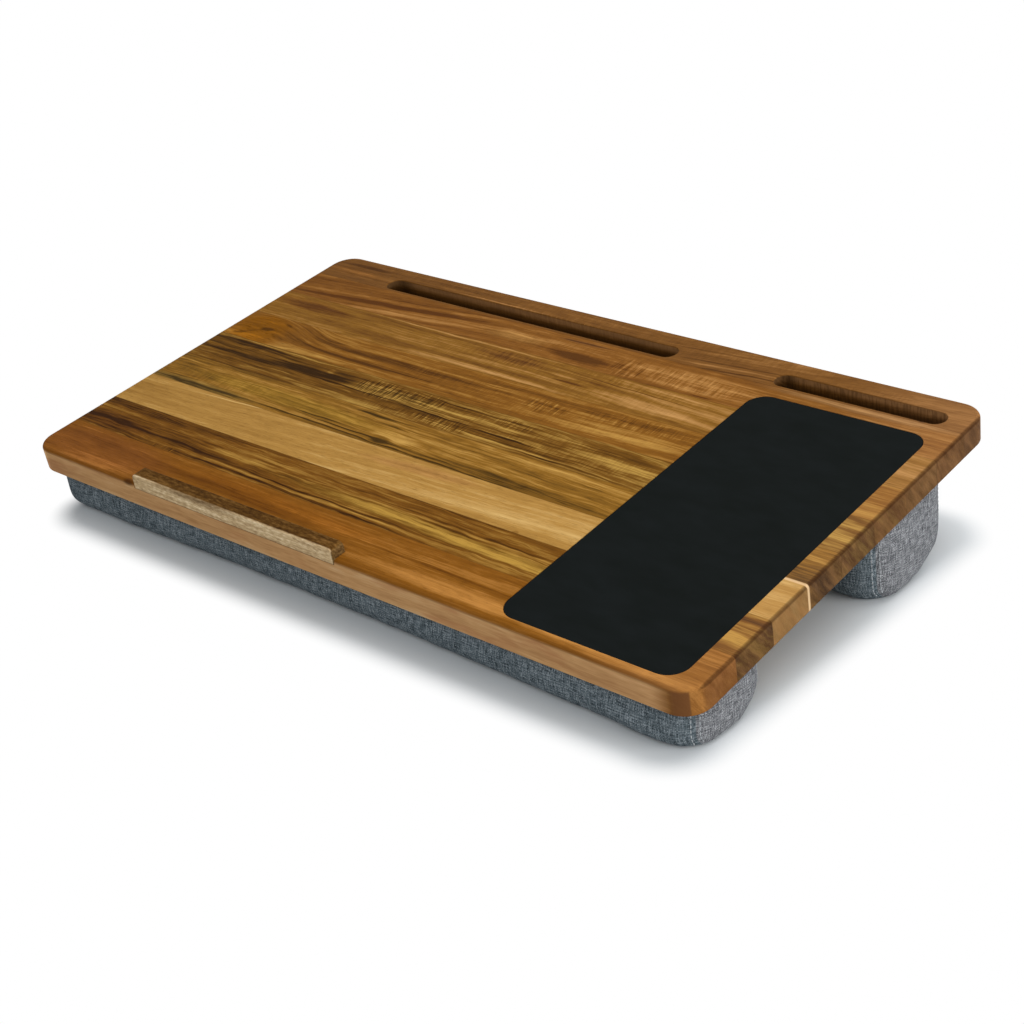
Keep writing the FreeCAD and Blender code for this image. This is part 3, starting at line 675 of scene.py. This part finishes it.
def heather(name):
    """Heathered slate cloth: a plain weave of uneven light and dark yarns, laid on the piece's own panels.
    The wrap and the end panels share one cloth: the wrap's darker, bluer tones are painted shade and the end
    panels' lighter tones are painted light.
    """
    finish = Finish(name)
    u, v, _ = split(finish, finish.node("UVMap", {"uv_map": PANELS}))
    weft = finish.noise(join(finish, u, v, 0.0), (6.0, 0.7, 1.0), 21.0, 1.5)
    warp = finish.noise(join(finish, u, v, 5.0), (0.7, 6.0, 1.0), 27.0, 1.5)
    cloud = finish.noise(join(finish, u, v, 9.0), (22, 16, 1.0), 33.0, 2.0)
    weft_round = (u * (math.pi / YARN)).sine()
    warp_round = (v * (math.pi / YARN)).sine()
    over = (weft_round * warp_round).between(-0.35, 0.35)
    level = (weft * over + warp * (1.0 - over) - 0.5) * 2.6 + (cloud - 0.5) * 0.3 + 0.5
    # Painted shade and painted light: one cloth in a darker, bluer copy for the wrap and a lighter copy for
    # the end panels.
    wrap = finish.ramp(level, (0.05, "2d3337"), (0.5, "5b656a"), (0.95, "8f979c"))
    ends = finish.ramp(level, (0.05, "444548"), (0.5, "717275"), (0.95, "a4a5a7"))
    crown = abs(weft_round) * over + abs(warp_round) * (1.0 - over)
    return finish.surface(
        Base_Color=finish.mix(v.between(END_PANELS - 100.0, END_PANELS - 60.0), wrap, ends),
        Roughness=0.9 + (cloud - 0.5) * 0.1,
        Normal=finish.bump(crown + level * 0.5, 0.00022),
        Specular_IOR_Level=DRY,
    )


def thread():
    """Pale twisted sewing thread."""
    finish = Finish("thread")
    point = finish.node("VectorMath", {"operation": "SCALE"}, {0: object_point(finish), "Scale": 1 / MM})
    twist = finish.noise(point, (0.3, 0.3, 0.5), 14.0, 1.0)
    return finish.surface(
        Base_Color=finish.ramp(twist, (0.3, "868a8d"), (0.7, "b4b8bb")),
        Roughness=0.75,
        Normal=finish.bump(twist, 0.00008),
    )


# ---- Bolsters, with lengths in mm ----

VOXEL = 4.0                         # mesh size for the swelling cloth
START_INSET = 0.5                   # how far inside its final skin the free cloth starts
SINK, RISE, SLIDE = 1.3, 4.5, 2.0   # how far the cloth may go in, out and along its skin
PINNED_TOP = 1.5                    # the band under the board where the hem is held
RESTING = -0.97                     # the upward part of a normal on the resting face
SEAM_INSET = 5.0                    # from a bolster's end to the seam round its end panel
SEAM_HELD = 2.6                     # how far from a seam the cloth is held by it
SEAM_HOLD = 0.5                     # how firmly
SEAM_DIP = 0.9                      # how deep the seam lies
SEAM_GROOVE = 1.7                   # how wide its groove is, each side
SEAM_CUTS = (-1.8, -0.8, 0.0, 0.8, 1.8)
STITCH_ROWS = 1.5                   # from the seam to each row of stitches
STITCH = {"Pitch": 2.9, "Length": 2.5, "Thread radius": 0.34}
STITCH_LIFT = 0.05                  # how far the stitches' middle stands off the cloth
STITCH_STEPS = 120                  # how finely a row follows the cloth round the bolster
STITCH_OPEN = 38                    # degrees either side of straight up where there is no row
CORNER = 18.0                       # radius of a bolster's upright corners
SOFT_PASSES = 18                    # how often the cushion's edges are smoothed
SOFT_ENDS = 40.0                    # the stretch at each end where they are softest
HEM_CLEAR, HEM_FADE = 3.0, 6.0      # the band under the board that stays sharp, and the fade below it
FOOT_RADIUS = 24.0                  # radius of the corners near the floor
FOOT_HEIGHT, FOOT_FADE = 16.0, 8.0  # how far up from the floor they have it, and the fade within that
FOOT_MIDDLE, FOOT_BAND = 100.0, 12.0   # half the stretches in which its reach is read, along x and y
SLICE_STEP, SLICE_HALF = 2.0, 1.6   # the slices near the floor in which it is read
SLUMP_HEIGHT = 26.0                 # how far up from the floor a bolster's filling settles forwards
SLUMP_FADE = 14.0                   # how far in front of its middle that reaches its full depth
SAGS = {                            # how far it does so along the bolster: (x, depth)
    "front": [
        (-262, 1.5), (-235, 2.2), (-185, 2.8), (-140, 1.6), (-90, 0.0), (20, -0.6), (90, 0.7), (140, 2.1),
        (180, 2.8), (215, 4.2), (240, 5.0), (252, 4.6), (266, 3.0),
    ],
    "rear": [(-266, 0.0), (266, 0.0)],
}
SWELL_FRAMES = 20                   # how long the cloth is blown up
CLOTH = {
    "use_pressure": True,
    "uniform_pressure_force": 16.0,
    "tension_stiffness": 12.0,
    "compression_stiffness": 12.0,
    "bending_stiffness": 0.5,
    "shrink_min": -0.02,
    "quality": 5,
}


def link(data, name):
    """Puts a mesh, a lamp or a camera in the scene."""
    piece = bpy.data.objects.new(name, data)
    bpy.context.scene.collection.objects.link(piece)
    return piece


def settle(piece):
    """Applies a piece's modifiers to its mesh."""
    ready = piece.evaluated_get(bpy.context.evaluated_depsgraph_get())
    mesh = bpy.data.meshes.new_from_object(ready)
    piece.modifiers.clear()
    piece.data = mesh


def read(mesh, what="co"):
    """A mesh's points, or its normals, as rows."""
    flat = np.empty(len(mesh.vertices) * 3)
    mesh.vertices.foreach_get(what, flat)
    return flat.reshape(-1, 3)


def write_points(mesh, points):
    mesh.vertices.foreach_set("co", np.asarray(points, float).ravel())
    mesh.update()


def eased(share):
    """A share kept between 0 and 1, level at both ends."""
    share = np.clip(share, 0.0, 1.0)
    return share * share * (3.0 - 2.0 * share)


def heights_on_board(points):
    """Heights over the board's top face, in mm, of points in the row's frame."""
    level = Matrix.Rotation(-TILT, 3, "X")
    return np.array([(level @ (Vector(p) / MM - BOARD_CORNER)).z for p in points])


def outer_form(nodes, name):
    """The closed convex form round some nodes, remeshed evenly."""
    bm = bmesh.new()
    for node in nodes:
        for vert in NODES[node].data.vertices:
            bm.verts.new(vert.co)
    hull = bmesh.ops.convex_hull(bm, input=bm.verts)
    loose = [g for g in hull["geom_interior"] + hull["geom_unused"] if isinstance(g, bmesh.types.BMVert)]
    bmesh.ops.delete(bm, geom=list(set(loose)), context="VERTS")
    bmesh.ops.recalc_face_normals(bm, faces=bm.faces)
    mesh = bpy.data.meshes.new(name)
    bm.to_mesh(mesh)
    bm.free()
    piece = link(mesh, name)
    remesh = piece.modifiers.new("remesh", "REMESH")
    remesh.mode = "VOXEL"
    remesh.voxel_size = VOXEL * MM
    settle(piece)
    return piece


def held(piece, skin, out, seams):
    """Holds the hem and the resting face fully and the seams in part; says which points are held fully."""
    heights = heights_on_board(skin)
    fixed = (heights > heights.max() - PINNED_TOP) | (out[:, 2] < RESTING)
    x = skin[:, 0] / MM
    sewn = (np.minimum(abs(x - seams[0]), abs(x - seams[1])) < SEAM_HELD) & ~fixed
    group = piece.vertex_groups.new(name="held")
    group.add(np.where(fixed)[0].tolist(), 1.0, "REPLACE")
    group.add(np.where(sewn)[0].tolist(), SEAM_HOLD, "REPLACE")
    return fixed


def limited(skin, out, blown):
    """The blown cloth, kept within what the foam behind it allows."""
    moved = (blown - skin) / MM
    rise = (moved * out).sum(axis=1, keepdims=True)
    slide = moved - rise * out
    far = np.linalg.norm(slide, axis=1, keepdims=True) + 1e-9
    slide = slide / far * np.tanh(far / SLIDE) * SLIDE
    rise = np.where(rise < 0, -np.tanh(-rise / SINK) * SINK, np.tanh(rise / RISE) * RISE)
    return skin + (rise * out + slide) * MM


def swell(piece, seams):
    """Blows the cloth up against its hem, its seams and the floor."""
    skin = read(piece.data)
    out = read(piece.data, "normal")
    fixed = held(piece, skin, out, seams)
    inset = np.where(fixed, 0.0, START_INSET)[:, None]
    write_points(piece.data, skin - out * inset * MM)
    cloth = piece.modifiers.new("cloth", "CLOTH")
    for name, value in CLOTH.items():
        setattr(cloth.settings, name, value)
    cloth.settings.vertex_group_mass = "held"
    cloth.settings.effector_weights.gravity = 0.0
    cloth.point_cache.frame_start = 1
    cloth.point_cache.frame_end = SWELL_FRAMES
    scene = bpy.context.scene
    for step in range(1, SWELL_FRAMES + 1):
        scene.frame_set(step)
    settle(piece)
    scene.frame_set(1)
    write_points(piece.data, limited(skin, out, read(piece.data)))


def soften(piece, low, high):
    """Rounds the cushion's edges, most at its ends and not at all at the hem."""
    points = read(piece.data)
    heights = heights_on_board(points)
    below = np.clip((heights.max() - HEM_CLEAR - heights) / HEM_FADE, 0.0, 1.0)
    x = points[:, 0] / MM
    end = np.clip(1.0 - np.minimum(x - low, high - x) / SOFT_ENDS, 0.0, 1.0)
    weights = below * (0.25 + 0.75 * end)
    group = piece.vertex_groups.new(name="soft")
    for index, weight in enumerate(weights):
        group.add([index], float(weight), "REPLACE")
    smooth = piece.modifiers.new("soften", "SMOOTH")
    smooth.factor = 0.5
    smooth.iterations = SOFT_PASSES
    smooth.vertex_group = "soft"
    settle(piece)


def subdivide(piece):
    smooth = piece.modifiers.new("smooth", "SUBSURF")
    smooth.levels = 1
    smooth.render_levels = 1
    settle(piece)


def reach_at(points, axis, side, heights):
    """How far out a form reaches along an axis at some heights."""
    steps = np.arange(0.0, FOOT_HEIGHT + SLICE_STEP, SLICE_STEP)
    slices = [points[np.abs(points[:, 2] - z) < SLICE_HALF, axis] for z in steps]
    return np.interp(heights, steps, [(places * side).max() * side for places in slices])


def round_feet(piece):
    """Rounds the cushion's corners in plan near the floor."""
    points = read(piece.data) / MM
    heights = points[:, 2].copy()
    share = np.clip((FOOT_HEIGHT - heights) / FOOT_FADE, 0.0, 1.0)
    middle = (points[:, 1].min() + points[:, 1].max()) / 2
    across = points[np.abs(points[:, 0]) < FOOT_MIDDLE]
    along = points[np.abs(points[:, 1] - middle) < FOOT_BAND]
    for x_side in (-1, 1):
        centre_x = reach_at(along, 0, x_side, heights) - x_side * FOOT_RADIUS
        for y_side in (-1, 1):
            centre_y = reach_at(across, 1, y_side, heights) - y_side * FOOT_RADIUS
            dx = points[:, 0] - centre_x
            dy = points[:, 1] - centre_y
            away = np.hypot(dx, dy)
            outside = (dx * x_side > 0.0) & (dy * y_side > 0.0) & (away > FOOT_RADIUS)
            pull = np.where(outside, (1.0 - FOOT_RADIUS / np.maximum(away, FOOT_RADIUS)) * share, 0.0)
            points[:, 0] -= dx * pull
            points[:, 1] -= dy * pull
    write_points(piece.data, points * MM)


def slump(piece, sags):
    """Lets the filling settle forwards near the floor; sags are (x, depth) along the bolster."""
    points = read(piece.data)
    depth = np.interp(points[:, 0] / MM, [x for x, _ in sags], [depth for _, depth in sags])
    low = eased(1.0 - points[:, 2] / MM / SLUMP_HEIGHT)
    middle = (points[:, 1].min() + points[:, 1].max()) / 2
    front = eased((middle - points[:, 1]) / MM / SLUMP_FADE)
    points[:, 1] -= depth * low * front * MM
    write_points(piece.data, points)


def rest_on_floor(piece):
    points = read(piece.data)
    points[:, 2] = np.maximum(points[:, 2], 0.0)
    write_points(piece.data, points)


def sew_seams(piece, seams):
    """Cuts loops along the seams round the end panels and pulls them in."""
    bm = bmesh.new()
    bm.from_mesh(piece.data)
    for seam in seams:
        for offset in SEAM_CUTS:
            geom = bm.verts[:] + bm.edges[:] + bm.faces[:]
            place = ((seam + offset) * MM, 0, 0)
            bmesh.ops.bisect_plane(bm, geom=geom, dist=1e-6, plane_co=place, plane_no=(1, 0, 0))
    bm.normal_update()
    for vert in bm.verts:
        gap = min(abs(vert.co.x / MM - seam) for seam in seams)
        if gap < SEAM_GROOVE:
            clear = min(max((vert.normal.z + 0.8) / 0.4, 0.0), 1.0)
            depth = SEAM_DIP * clear * (0.5 + 0.5 * math.cos(math.pi * gap / SEAM_GROOVE))
            vert.co -= Vector((0.0, vert.normal.y, vert.normal.z)) * depth * MM
    bm.to_mesh(piece.data)
    bm.free()
    piece.data.update()


def unrolled(x, low, high):
    """Lengthwise place on the cloth, followed round the bolster's rounded corners."""
    left = np.clip((low + CORNER - x) / CORNER, 0.0, 1.0)
    right = np.clip((x - high + CORNER) / CORNER, 0.0, 1.0)
    straight = np.clip(x, low + CORNER, high - CORNER)
    return straight + (np.arcsin(right) - np.arcsin(left)) * CORNER


def unwound(points):
    """Place round the wrap, along the outline of the bolster's middle."""
    middle = points[np.abs(points[:, 0]) < SECTION]
    centre = (middle.min(0) + middle.max(0)) / 2
    angles = np.arctan2(middle[:, 1] - centre[1], middle[:, 2] - centre[2])
    radii = np.hypot(middle[:, 1] - centre[1], middle[:, 2] - centre[2])
    bins = np.linspace(-math.pi, math.pi, SECTION_BINS + 1)
    mids = (bins[:-1] + bins[1:]) / 2
    places = np.clip(np.digitize(angles, bins) - 1, 0, len(mids) - 1)
    filled = [i for i in range(len(mids)) if (places == i).any()]
    mean = np.interp(mids, mids[filled], [radii[places == i].mean() for i in filled])
    ring = np.stack([np.sin(mids) * mean, np.cos(mids) * mean], 1)
    steps = np.linalg.norm(np.diff(ring, axis=0), axis=1)
    arc = np.concatenate([[0.0], np.cumsum(steps)])
    return np.interp(np.arctan2(points[:, 1] - centre[1], points[:, 2] - centre[2]), mids, arc)


def lay_panels(piece, seams):
    """Lays the cloth: lengthwise and round the wrap, and straight on each end panel."""
    points = read(piece.data) / MM
    along = unrolled(points[:, 0], points[:, 0].min(), points[:, 0].max())
    around = unwound(points)
    layer = piece.data.uv_layers.new(name=PANELS)
    for face in piece.data.polygons:
        x = face.center.x / MM
        end = x < seams[0] or x > seams[1]
        for corner in face.loop_indices:
            index = piece.data.loops[corner].vertex_index
            _, y, z = points[index]
            layer.data[corner].uv = (y, z + END_PANELS) if end else (along[index], around[index])


def add_node(tree, kind, inputs=None, **settings):
    """Adds a node to a geometry tree: its settings, then what its sockets hold. Gives its outputs."""
    added = tree.nodes.new(kind)
    for name, value in settings.items():
        setattr(added, name, value)
    for name, value in (inputs or {}).items():
        if isinstance(value, bpy.types.NodeSocket):
            tree.links.new(value, added.inputs[name])
        else:
            added.inputs[name].default_value = value
    return added.outputs


def stitch_tree():
    """Stitches at a pitch along every line of a mesh."""
    tree = bpy.data.node_groups.new("stitches", "GeometryNodeTree")
    face = tree.interface
    face.new_socket("Lines", in_out="INPUT", socket_type="NodeSocketGeometry")
    for name in STITCH:
        face.new_socket(name, in_out="INPUT", socket_type="NodeSocketFloat")
    face.new_socket("Thread", in_out="INPUT", socket_type="NodeSocketMaterial")
    face.new_socket("Stitches", in_out="OUTPUT", socket_type="NodeSocketGeometry")
    given = add_node(tree, "NodeGroupInput")
    radius = given["Thread radius"]
    curve = add_node(tree, "GeometryNodeMeshToCurve", {"Mesh": given["Lines"]})
    inputs = {"Curve": curve["Curve"], "Length": given["Pitch"]}
    points = add_node(tree, "GeometryNodeCurveToPoints", inputs, mode="LENGTH")
    bead = add_node(tree, "GeometryNodeMeshUVSphere", {"Segments": 8, "Rings": 5, "Radius": 1.0})
    half = add_node(tree, "ShaderNodeMath", {0: given["Length"], 1: 0.5}, operation="MULTIPLY")
    size = add_node(tree, "ShaderNodeCombineXYZ", {"X": radius, "Y": radius, "Z": half[0]})
    shape = add_node(tree, "GeometryNodeTransform", {"Geometry": bead["Mesh"], "Scale": size["Vector"]})
    inputs = {"Points": points["Points"], "Rotation": points["Rotation"], "Instance": shape["Geometry"]}
    row = add_node(tree, "GeometryNodeInstanceOnPoints", inputs)
    real = add_node(tree, "GeometryNodeRealizeInstances", {"Geometry": row["Instances"]})
    inputs = {"Geometry": real["Geometry"], "Material": given["Thread"]}
    sewn = add_node(tree, "GeometryNodeSetMaterial", inputs)
    add_node(tree, "NodeGroupOutput", {"Stitches": sewn["Geometry"]})
    return tree


def set_input(modifier, name, value):
    """Sets a modifier's named input by its socket's identifier."""
    for item in modifier.node_group.interface.items_tree:
        if item.item_type == "SOCKET" and item.in_out == "INPUT" and item.name == name:
            modifier[item.identifier] = value


def seam_line(skin, x, centre):
    """Points on the cloth round the cushion's section at x, without its top and its resting face."""
    line = []
    for step in range(STITCH_STEPS + 1):
        angle = math.radians(STITCH_OPEN + step * (360 - 2 * STITCH_OPEN) / STITCH_STEPS)
        out = Vector((0, math.sin(angle), math.cos(angle)))
        start = Vector((x * MM, centre.y, centre.z))
        hit, normal, _, _ = skin.ray_cast(start, out)
        if hit is not None and normal.z > -0.45:
            line.append(hit + out * STITCH_LIFT * MM)
    return line


def stitches(name, cushion, seams, tree, material):
    """Two rows of stitches along each seam."""
    bm = bmesh.new()
    bm.from_mesh(cushion.data)
    skin = BVHTree.FromBMesh(bm)
    bm.free()
    points = read(cushion.data)
    centre = Vector((points.min(0) + points.max(0)) / 2)
    verts, edges = [], []
    for seam in seams:
        for side in (-1, 1):
            line = seam_line(skin, seam + side * STITCH_ROWS, centre)
            for i, (here, there) in enumerate(zip(line, line[1:]), len(verts)):
                if (there - here).length < 5 * MM:
                    edges.append((i, i + 1))
            verts.extend(line)
    mesh = bpy.data.meshes.new(name)
    mesh.from_pydata(verts, edges, [])
    piece = link(mesh, name)
    modifier = piece.modifiers.new("stitches", "NODES")
    modifier.node_group = tree
    for measure, value in STITCH.items():
        set_input(modifier, measure, value * MM)
    set_input(modifier, "Thread", material)
    settle(piece)
    return piece


def bolster(side, cloth, sewing, tree):
    """One bolster: a swollen cloth skin with a sewn seam round each end panel."""
    nodes = [f"{side}_bolster_{part}" for part in ("wrap", "end_cap_left", "end_cap_right", "foam")]
    cushion = outer_form(nodes, f"{side}_bolster")
    low = min(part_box(node)[0].x for node in nodes) / MM
    high = max(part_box(node)[1].x for node in nodes) / MM
    seams = (low + SEAM_INSET, high - SEAM_INSET)
    swell(cushion, seams)
    soften(cushion, low, high)
    subdivide(cushion)
    round_feet(cushion)
    slump(cushion, SAGS[side])
    rest_on_floor(cushion)
    sew_seams(cushion, seams)
    lay_panels(cushion, seams)
    cushion.data.materials.clear()
    cushion.data.materials.append(cloth)
    cushion.data.shade_smooth()
    rows = stitches(f"{side}_bolster_stitches", cushion, seams, tree, sewing)
    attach(cushion, "root")
    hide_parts(*nodes)
    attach(rows, "root")


# ---- Studio ----

LENS = 63.66
EYE = (0.70765, -0.75575, 0.53008)
EYE_TURN = (62.898, 3.580, 40.466)
FLOOR_REACH = 8.0
SHADOW_MIDDLE = (0.011, -0.002)
SHADOW_REACH = (0.228, 0.131)    # half the size of the stretch that keeps the whole shadow
SHADOW_FADE = (0.022, 0.044)     # how far beyond it the floor starts to turn white, and is white
SKY_FILL = 0.42
WHITE = (1.0, 1.0, 1.0, 1.0)
LAMPS = {   # place, what it points at, size, power
    "key": ((0.3, 0.4, 1.5), (0.0, 0.0, 0.0), (1.3, 1.3), 15.6),
    "front_fill": ((0.7, -1.2, 1.0), (0.0, 0.0, 0.05), (1.2, 0.9), 8.5),
    "side_fill": ((1.5, 0.2, 0.45), (0.2, 0.0, 0.03), (0.9, 0.5), 11.0),
}


def camera():
    data = bpy.data.cameras.new("camera")
    data.sensor_width = 36.0
    data.lens = LENS
    data.clip_end = 50.0
    eye = link(data, "camera")
    eye.location = EYE
    eye.rotation_euler = [math.radians(a) for a in EYE_TURN]
    bpy.context.scene.camera = eye


def soft_box(name, place, aim, size, power):
    data = bpy.data.lights.new(name, "AREA")
    data.shape = "RECTANGLE"
    data.size, data.size_y = size
    data.energy = power
    lamp = link(data, name)
    lamp.location = place
    lamp.rotation_euler = (Vector(aim) - Vector(place)).to_track_quat("-Z", "Y").to_euler()


def seen(finish):
    """1 for rays that show the background: from the camera, off gloss, or through glass."""
    rays = ("Is Camera Ray", "Is Glossy Ray", "Is Transmission Ray")
    direct, glossy, through = [finish.node("LightPath", None, None, ray) for ray in rays]
    return direct.most(glossy).most(through)


def floor():
    """A wide pale sheet that keeps the shadow and runs out to plain white away from the object."""
    finish = Finish("floor")
    paper = finish.node("BsdfDiffuse", None, {"Color": "d3d7d9"})
    white = finish.node("Emission", None, {"Color": WHITE, "Strength": 1.0})
    places = zip(split(finish, object_point(finish)), SHADOW_MIDDLE, SHADOW_REACH)
    beyond_x, beyond_y = [(abs(place - middle) - reach).most(0.0) for place, middle, reach in places]
    away = (beyond_x * beyond_x + beyond_y * beyond_y) ** 0.5
    share = seen(finish) * away.between(*SHADOW_FADE)
    shown = finish.node("MixShader", None, {0: share, 1: paper, 2: white})
    finish.node("OutputMaterial", None, {"Surface": shown})
    mesh = bpy.data.meshes.new("floor")
    corners = [(x * FLOOR_REACH, y * FLOOR_REACH, 0.0) for x, y in ((-1, -1), (1, -1), (1, 1), (-1, 1))]
    mesh.from_pydata(corners, [], [(0, 1, 2, 3)])
    mesh.materials.append(finish.made)
    link(mesh, "floor")


def world():
    """Soft fill from all round, which shows as white behind the object."""
    sky = Finish("studio", bpy.data.worlds)
    fill = sky.node("Background", None, {"Color": (0.95, 0.97, 1.0, 1.0), "Strength": SKY_FILL})
    white = sky.node("Background", None, {"Color": WHITE, "Strength": 1.0})
    mixed = sky.node("MixShader", None, {0: seen(sky), 1: fill, 2: white})
    sky.node("OutputWorld", None, {"Surface": mixed})
    bpy.context.scene.world = sky.made


# ---- The lap desk ----

def dress(node, material):
    """Gives a CAD node a finish."""
    slots = NODES[node].material_slots
    if not slots:
        NODES[node].data.materials.append(material)
    for slot in slots:
        slot.material = material


bpy.context.scene.view_settings.view_transform = "Standard"
camera()
world()
floor()
for name, (place, aim, size, power) in LAMPS.items():
    soft_box(name, place, aim, size, power)

for number in STAVES:
    dress(f"stave_{number}", acacia(number))
dress("device_ledge", ledge_wood())
dress("mouse_pad", pad_cover())
dress("mouse_pad_adhesive", adhesive_film())
inside = {"foam": foam(), "backing": hardboard(), "tape": mounting_tape(), "staples": staple_wire()}
for side in ("front", "rear"):
    for part, material in inside.items():
        dress(f"{side}_bolster_{part}", material)

cloth = heather("heathered_cloth")
sewing = thread()
sewn = stitch_tree()
for side in ("front", "rear"):
    bolster(side, cloth, sewing, sewn)
